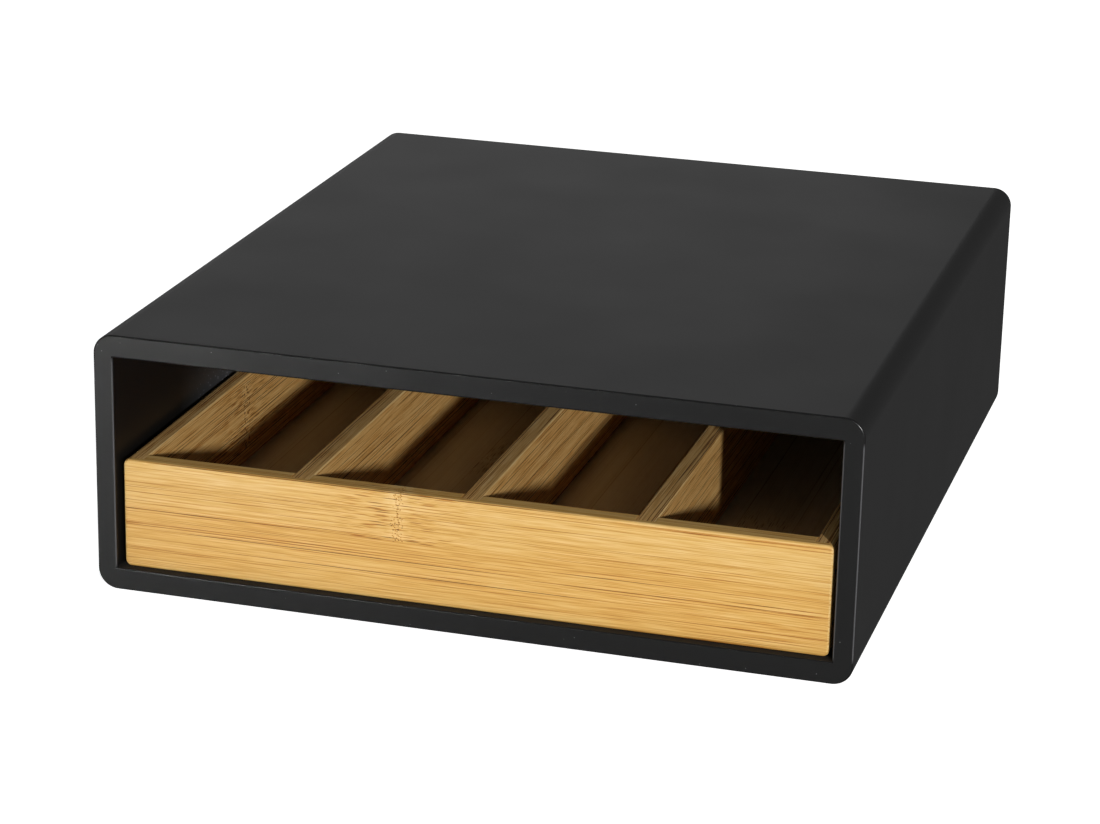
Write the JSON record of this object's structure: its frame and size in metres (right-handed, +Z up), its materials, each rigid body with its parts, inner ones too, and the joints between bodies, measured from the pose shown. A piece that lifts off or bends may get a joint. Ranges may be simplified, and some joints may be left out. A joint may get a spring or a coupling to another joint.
{
  "type": "coffee capsule drawer",
  "caption": "Low box with an open front, round edges and a flat top for a coffee machine. A shallow wooden drawer with lengthwise compartments for capsules slides on its floor.",
  "frame": {"origin": "centre of the footprint, on the surface that the feet stand on", "axes": "+X to the right seen from the front, -Y out of the open front, +Z up"},
  "size_m": [0.3, 0.34, 0.106],
  "materials": {
    "black_lacquer": "satin black lacquer on fibreboard",
    "bamboo": "clear satin varnish on laminated bamboo",
    "beech": "raw turned beech",
    "steel": "bright drawn wire",
    "foot_rubber": "matt black rubber"
  },
  "bodies": {
    "casing": {"top_panel": "black_lacquer", "bottom_panel": "black_lacquer", "left_side_panel": "black_lacquer", "right_side_panel": "black_lacquer", "back_panel": "black_lacquer", "corner_dowels": "beech", "back_panel_brads": "steel", "foot_front_left": "foot_rubber", "foot_front_right": "foot_rubber", "foot_rear_left": "foot_rubber", "foot_rear_right": "foot_rubber"},
    "drawer": {"drawer_front_board": "bamboo", "drawer_back_board": "bamboo", "drawer_left_side": "bamboo", "drawer_right_side": "bamboo", "drawer_floor": "bamboo", "drawer_divider_1": "bamboo", "drawer_divider_2": "bamboo", "drawer_divider_3": "bamboo", "drawer_corner_brads": "steel", "drawer_divider_brads": "steel"}
  },
  "joints": [
    {"name": "drawer_slide", "type": "slide", "parent": "casing", "child": "drawer", "axis": [0, -1, 0], "range_m": [0, 0.3]}
  ]
}
